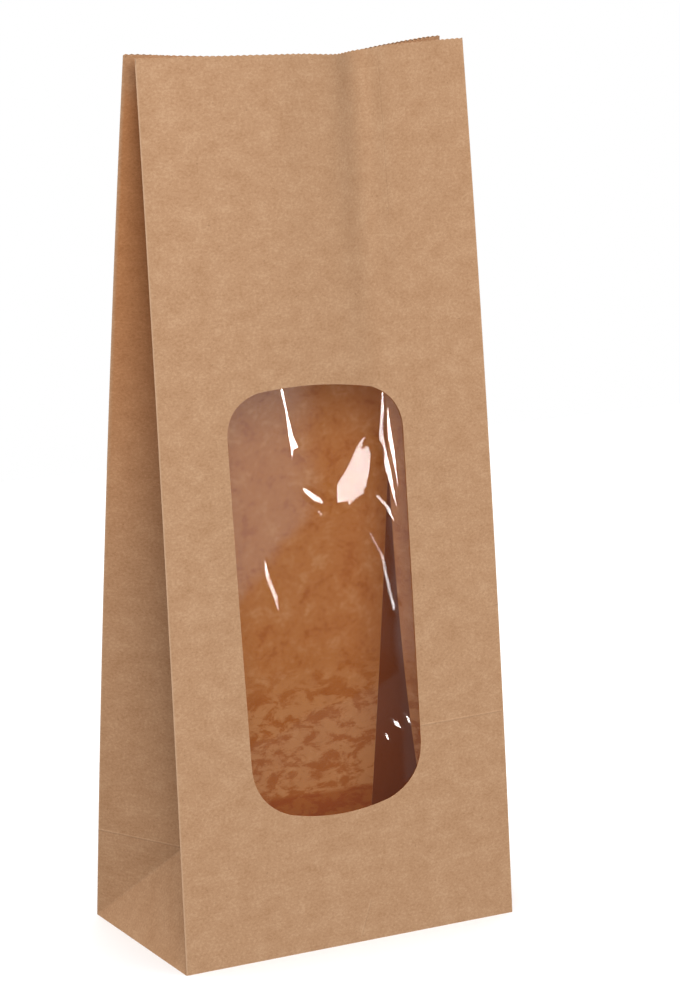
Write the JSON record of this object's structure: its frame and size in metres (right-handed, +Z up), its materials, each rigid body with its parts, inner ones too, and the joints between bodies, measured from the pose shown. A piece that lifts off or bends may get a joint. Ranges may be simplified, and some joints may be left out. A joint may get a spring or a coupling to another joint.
{
  "type": "block-bottom paper bag with window",
  "caption": "Empty kraft paper block-bottom bag with side gussets, a clear film window in the front and a pinked open mouth, standing upright.",
  "frame": {"origin": "middle of the base rectangle, on the surface the bag stands on", "axes": "+Z up along the bag, -Y the way the window faces, +X to the right of someone who looks at the window"},
  "size_m": [0.12, 0.065, 0.2844],
  "materials": {
    "kraft_paper": "brown kraft paper, matt outside and laminated inside",
    "clear_film": "clear glossy film, slightly crumpled"
  },
  "bodies": {
    "root": {"paper_bag": "kraft_paper", "window_film": "clear_film"}
  },
  "joints": []
}
